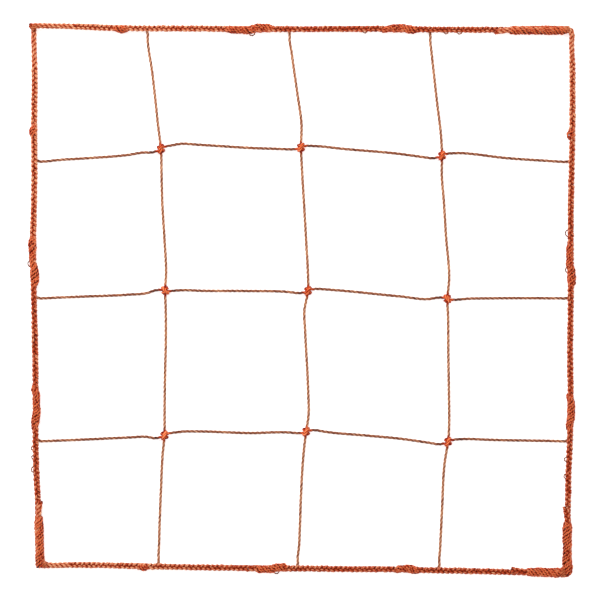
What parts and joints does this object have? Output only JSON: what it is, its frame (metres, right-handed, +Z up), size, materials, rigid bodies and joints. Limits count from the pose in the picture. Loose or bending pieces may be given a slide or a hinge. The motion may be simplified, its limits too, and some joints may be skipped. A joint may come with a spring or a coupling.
{
  "type": "square net panel",
  "caption": "Flat square panel of wide knotted mesh in twisted orange twine, with a plaited cord round its edge, for hanging as a sports net.",
  "frame": {"origin": "on the ground under the centre of the panel", "axes": "+X to the right along the top edge, +Y towards the top edge, +Z up out of the panel as it lies flat"},
  "size_m": [0.4879, 0.493, 0.0118],
  "materials": {
    "net_twine": "three-strand twisted polyethylene twine, orange with darker flecks",
    "edge_cord": "plaited polyethylene cord, orange-red",
    "binding_twine": "wound twine, orange-red",
    "lashing_twine": "thin twisted twine, brown-orange"
  },
  "bodies": {
    "root": {"column_twine_left": "net_twine", "column_twine_middle": "net_twine", "column_twine_right": "net_twine", "row_twine_top": "net_twine", "row_twine_middle": "net_twine", "row_twine_bottom": "net_twine", "edge_cord_top": "edge_cord", "edge_cord_right": "edge_cord", "edge_cord_bottom": "edge_cord", "edge_cord_left": "edge_cord", "tail_binding_top_1": "binding_twine", "tail_binding_top_2": "binding_twine", "tail_binding_top_3": "binding_twine", "tail_binding_right_1": "binding_twine", "tail_binding_right_2": "binding_twine", "tail_binding_right_3": "binding_twine", "tail_binding_bottom_1": "binding_twine", "tail_binding_bottom_2": "binding_twine", "tail_binding_bottom_3": "binding_twine", "tail_binding_left_1": "binding_twine", "tail_binding_left_2": "binding_twine", "tail_binding_left_3": "binding_twine", "corner_binding_top": "binding_twine", "corner_binding_right": "binding_twine", "corner_binding_bottom": "binding_twine", "corner_binding_left": "binding_twine", "lashing_top_left": "lashing_twine", "lashing_top_right": "lashing_twine", "lashing_bottom_right": "lashing_twine", "lashing_bottom_left": "lashing_twine", "slack_loops_top": "lashing_twine", "slack_loops_right": "lashing_twine", "slack_loops_bottom": "lashing_twine", "slack_loops_left": "lashing_twine"}
  },
  "joints": []
}
